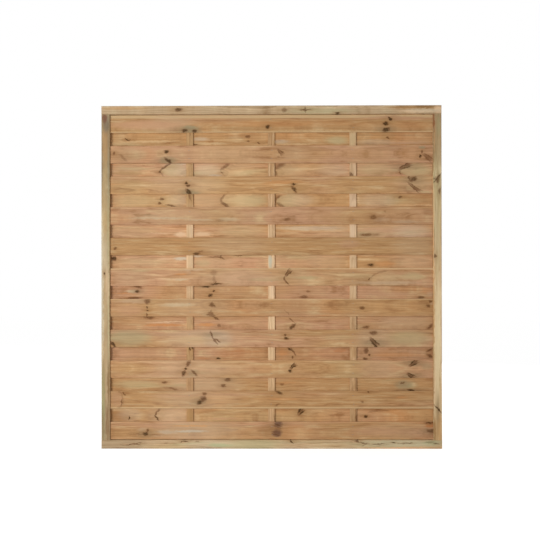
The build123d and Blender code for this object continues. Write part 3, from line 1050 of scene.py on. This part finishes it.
def make_staples():
    """All the staples, as one piece. Each is a little out of level, as a hand-held gun leaves it."""
    mesh = bmesh.new()
    count = 0
    for slat in SLATS:
        low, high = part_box(slat)
        at_front = slat.startswith("front")
        outward = Vector((0.0, -1.0 if at_front else 1.0, 0.0))
        for batten in BATTENS:
            batten_low, batten_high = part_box(batten)
            for way in (-1, 1):
                count += 1
                tilt = math.radians(STAPLE_TILT) * math.sin(TILT_PACE * count)
                shift = STAPLE_SHIFT * math.sin(SHIFT_PACE * count)
                centre = Vector((
                    (batten_low.x + batten_high.x) / 2 + shift, low.y if at_front else high.y,
                    (low.z + high.z) / 2 + way * STAPLE_SPREAD / 2,
                ))
                add_staple(mesh, centre, outward, tilt)
    bmesh.ops.recalc_face_normals(mesh, faces=mesh.faces)
    data = bpy.data.meshes.new("staples")
    mesh.to_mesh(data)
    mesh.free()
    data.polygons.foreach_set("use_smooth", [True] * len(data.polygons))
    data.materials.append(ZINC)
    staples = bpy.data.objects.new("staples", data)
    bpy.context.scene.collection.objects.link(staples)
    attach(staples, "root")


make_staples()


# Floor and light
WHITE = (1.0, 1.0, 1.0, 1.0)
FLOOR_REACH = 14.0
FLOOR_COLOUR = (0.8, 0.8, 0.8, 1.0)
FLOOR_GLOW = 0.7
WORLD_FILL = 0.37


def seen_rays(tree):
    """1 for what the eye sees, straight or in a reflection, and 0 for light on its way to the panel."""
    path = tree.node("ShaderNodeLightPath").outputs
    kinds = ("Is Camera Ray", "Is Glossy Ray", "Is Transmission Ray")
    camera_ray, glossy, through = [Value(tree, path[kind]) for kind in kinds]
    return tree.largest(tree.largest(camera_ray, glossy), through)


def make_floor():
    """A plain white floor that keeps the shadow of the panel."""
    mesh = bpy.data.meshes.new("floor")
    corners = [(x * FLOOR_REACH, y * FLOOR_REACH, 0) for x, y in ((-1, -1), (1, -1), (1, 1), (-1, 1))]
    mesh.from_pydata(corners, [], [(0, 1, 2, 3)])
    floor = bpy.data.objects.new("floor", mesh)
    bpy.context.scene.collection.objects.link(floor)
    material, tree, shader = new_material("floor")
    nodes = material.node_tree.nodes
    nodes.remove(shader)
    plain = tree.out("ShaderNodeBsdfDiffuse", {"Color": FLOOR_COLOUR})
    glow = tree.out("ShaderNodeEmission", {"Color": WHITE, "Strength": FLOOR_GLOW})
    lifted = tree.out("ShaderNodeAddShader", {0: plain, 1: glow})
    result = tree.out("ShaderNodeMixShader", {0: seen_rays(tree), 1: plain, 2: lifted})
    tree.feed(nodes["Material Output"].inputs["Surface"], result)
    mesh.materials.append(material)


def make_world():
    """A white backdrop to the eye, and an even soft light on the panel."""
    world = bpy.data.worlds.new("studio")
    bpy.context.scene.world = world
    world.use_nodes = True
    tree = Tree(world.node_tree)
    background = world.node_tree.nodes["Background"]
    background.inputs["Color"].default_value = WHITE
    tree.feed(background.inputs["Strength"], seen_rays(tree) * (1.0 - WORLD_FILL) + WORLD_FILL)


def make_lamp(name, place, target, width, height, power, spread):
    """A wide soft lamp that faces a target. spread is the angle of its beam, in degrees."""
    lamp = bpy.data.lights.new(name, "AREA")
    lamp.shape = "RECTANGLE"
    lamp.size = width
    lamp.size_y = height
    lamp.energy = power
    lamp.spread = math.radians(spread)
    holder = bpy.data.objects.new(name, lamp)
    holder.location = place
    holder.rotation_euler = (Vector(target) - Vector(place)).to_track_quat("-Z", "Y").to_euler()
    bpy.context.scene.collection.objects.link(holder)


make_floor()
make_world()
make_lamp(
    "key", place=(-2.2, -4.4, 1.15), target=(-0.25, 0.0, 0.75),
    width=2.4, height=1.6, power=36.0, spread=90.0,
)
make_lamp(
    "rear", place=(2.2, 4.4, 1.8), target=(0.0, 0.0, 0.9),
    width=2.6, height=2.0, power=110.0, spread=180.0,
)
